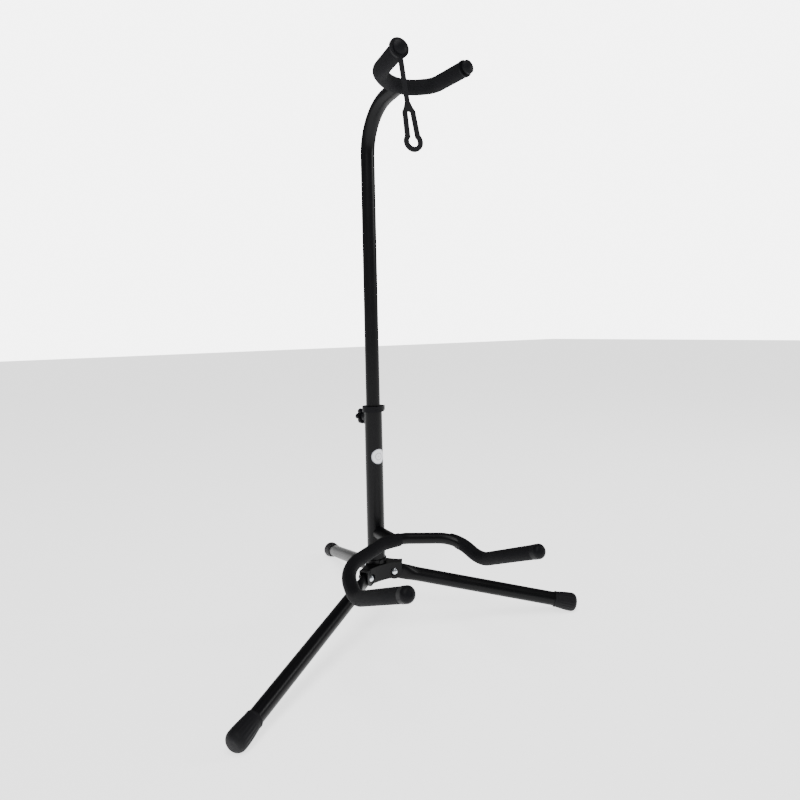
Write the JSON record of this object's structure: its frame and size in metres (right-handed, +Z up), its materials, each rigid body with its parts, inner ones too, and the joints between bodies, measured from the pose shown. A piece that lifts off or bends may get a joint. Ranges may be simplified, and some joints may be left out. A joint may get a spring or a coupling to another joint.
{
  "type": "guitar stand",
  "caption": "Folding tubular tripod stand for one guitar, with a clamped telescopic post, padded body cradle, padded neck yoke and rubber retaining strap.",
  "frame": {"origin": "on the floor under the axis of the post", "axes": "+Z up along the post, -Y forward, the way the cradle and yoke point and the guitar leans in from; +X to the right of somebody facing the front"},
  "size_m": [0.5002, 0.5432, 0.7578],
  "materials": {
    "painted_steel": "semi-gloss black powder coat",
    "black_plastic": "satin moulded",
    "black_foam": "matt closed-cell foam, finely ribbed",
    "black_rubber": "satin moulded rubber",
    "zinc_steel": "bright zinc plate",
    "brass_pad": "turned",
    "bush_plastic": "natural nylon",
    "label_film": "silvery printed film"
  },
  "bodies": {
    "base": {"lower_post": "painted_steel", "post_plug": "black_plastic", "leg_hub": "painted_steel", "hub_screw": "painted_steel", "cradle_stub": "painted_steel", "cradle_rod": "painted_steel", "cradle_sleeve_left": "black_foam", "cradle_sleeve_right": "black_foam", "cradle_cap_left": "black_plastic", "cradle_cap_right": "black_plastic", "round_label": "label_film", "clamp_collar": "black_plastic", "clamp_nut": "zinc_steel", "leg_bolts": "zinc_steel", "leg_washers": "zinc_steel", "leg_nuts": "zinc_steel"},
    "leg_left": {"leg_left": "painted_steel", "boot_left": "black_rubber"},
    "leg_right": {"leg_right": "painted_steel", "boot_right": "black_rubber"},
    "leg_rear": {"leg_rear": "painted_steel", "boot_rear": "black_rubber"},
    "slider": {"guide_bush": "bush_plastic"},
    "neck": {"neck_tube": "painted_steel", "yoke_rod": "painted_steel", "yoke_sleeve_left": "black_foam", "yoke_sleeve_right": "black_foam", "yoke_cap_left": "black_plastic", "yoke_cap_right": "black_plastic"},
    "strap": {"neck_strap": "black_rubber"},
    "pad": {"clamp_pad": "brass_pad"},
    "knob": {"clamp_knob": "black_plastic", "clamp_screw": "zinc_steel"}
  },
  "joints": [
    {"name": "leg_left_fold", "type": "hinge", "parent": "base", "child": "leg_left", "pos_m": [-0.02181, -0.01416, 0.0725], "axis": [0.5446, -0.8387, 0], "range_deg": [0, 76]},
    {"name": "leg_right_fold", "type": "hinge", "parent": "base", "child": "leg_right", "pos_m": [0.02181, -0.01416, 0.0725], "axis": [0.5446, 0.8387, 0], "range_deg": [0, 76]},
    {"name": "leg_rear_fold", "type": "hinge", "parent": "base", "child": "leg_rear", "pos_m": [0.00451, 0.0256, 0.0725], "axis": [-0.9848, 0.1736, 0], "range_deg": [0, 76]},
    {"name": "neck_height", "type": "slide", "parent": "base", "child": "slider", "axis": [0, 0, 1], "range_m": [-0.135, 0.045]},
    {"name": "neck_turn", "type": "hinge", "parent": "slider", "child": "neck", "pos_m": [0, 0, 0.3], "axis": [0, 0, 1], "range_deg": [-180, 180]},
    {"name": "strap_swing", "type": "hinge", "parent": "neck", "child": "strap", "pos_m": [-0.04791, -0.17852, 0.74572], "axis": [-0.1158, -0.9919, 0.052], "range_deg": [-180, 180]},
    {"name": "clamp_travel", "type": "slide", "parent": "base", "child": "pad", "axis": [0, 1, 0], "range_m": [0, 0.002]},
    {"name": "clamp_turn", "type": "hinge", "parent": "pad", "child": "knob", "pos_m": [0, 0.03, 0.2935], "axis": [0, 1, 0], "range_deg": [0, 720]}
  ],
  "couplings": [
    {"joint": "clamp_travel", "follows": "clamp_turn", "m_per_rad": 0.00015915}
  ]
}
